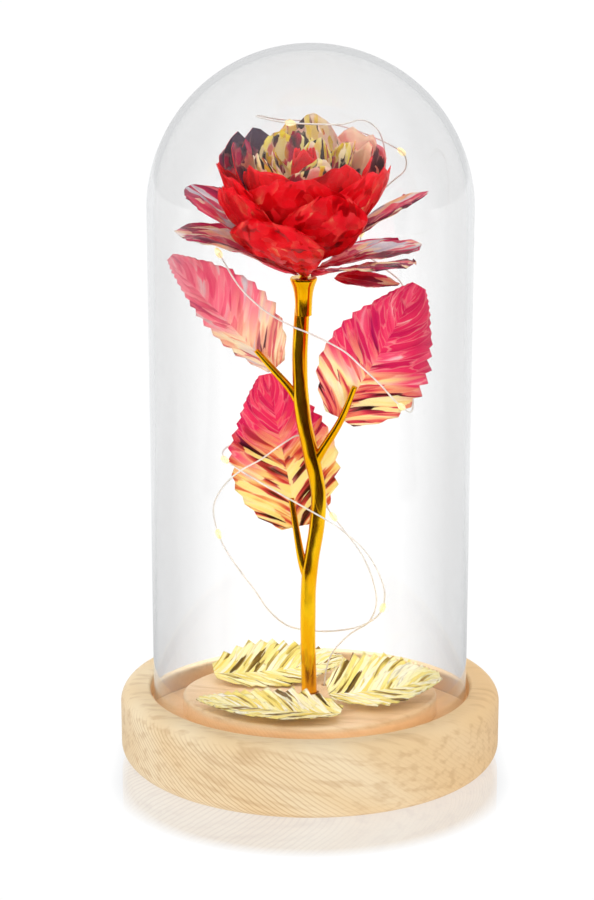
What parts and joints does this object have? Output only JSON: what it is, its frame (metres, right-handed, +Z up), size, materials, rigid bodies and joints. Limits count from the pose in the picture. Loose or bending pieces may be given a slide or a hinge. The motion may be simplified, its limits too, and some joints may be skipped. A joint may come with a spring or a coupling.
{
  "type": "film rose in glass dome",
  "caption": "Rose of coloured plastic film on a gold-plated stem, wound with a fine light string, standing on a round wooden base under a clear glass dome.",
  "frame": {"origin": "centre of the underside of the wooden base", "axes": "+Z up through the stem to the top of the dome, -Y towards the front, +X to the right seen from the front"},
  "size_m": [0.115, 0.115, 0.2134],
  "materials": {
    "wood": "turned pale beech, fine sanded, thin matt lacquer",
    "glass": "clear blown glass",
    "plated_gold": "moulded plastic with a bright gold plating",
    "leaf_film": "embossed colour-shifting film, pink to gold",
    "gold_film": "embossed colour-shifting film seen as pale gold",
    "petal_film": "creased colour-shifting film, red seen through",
    "light_wire": "fine silvered wire",
    "light_bead": "clear resin drop over a warm white light",
    "plastic": "moulded, fine matt texture"
  },
  "bodies": {
    "root": {"base": "wood", "battery_box": "plastic", "battery_lid": "plastic", "glass_dome": "glass", "stem": "plated_gold", "stalk_left": "plated_gold", "stalk_right": "plated_gold", "stalk_low": "plated_gold", "leaf_left": "leaf_film", "leaf_right": "leaf_film", "leaf_low": "leaf_film", "fallen_leaf_back": "gold_film", "fallen_leaf_front": "gold_film", "fallen_leaf_right": "gold_film", "sepal": "petal_film", "light_string": "light_wire", "open_petal_1": "petal_film", "open_petal_2": "petal_film", "open_petal_3": "petal_film", "open_petal_4": "petal_film", "open_petal_5": "petal_film", "spread_petal_1": "petal_film", "spread_petal_2": "petal_film", "spread_petal_3": "petal_film", "spread_petal_4": "petal_film", "spread_petal_5": "petal_film", "outer_cup_petal_1": "petal_film", "outer_cup_petal_2": "petal_film", "outer_cup_petal_3": "petal_film", "outer_cup_petal_4": "petal_film", "outer_cup_petal_5": "petal_film", "inner_cup_petal_1": "petal_film", "inner_cup_petal_2": "petal_film", "inner_cup_petal_3": "petal_film", "inner_cup_petal_4": "petal_film", "inner_cup_petal_5": "petal_film", "heart_petal_1": "petal_film", "heart_petal_2": "petal_film", "heart_petal_3": "petal_film", "heart_petal_4": "petal_film", "bud_petal_1": "petal_film", "bud_petal_2": "petal_film", "bud_petal_3": "petal_film", "bud": "petal_film"}
  },
  "joints": []
}
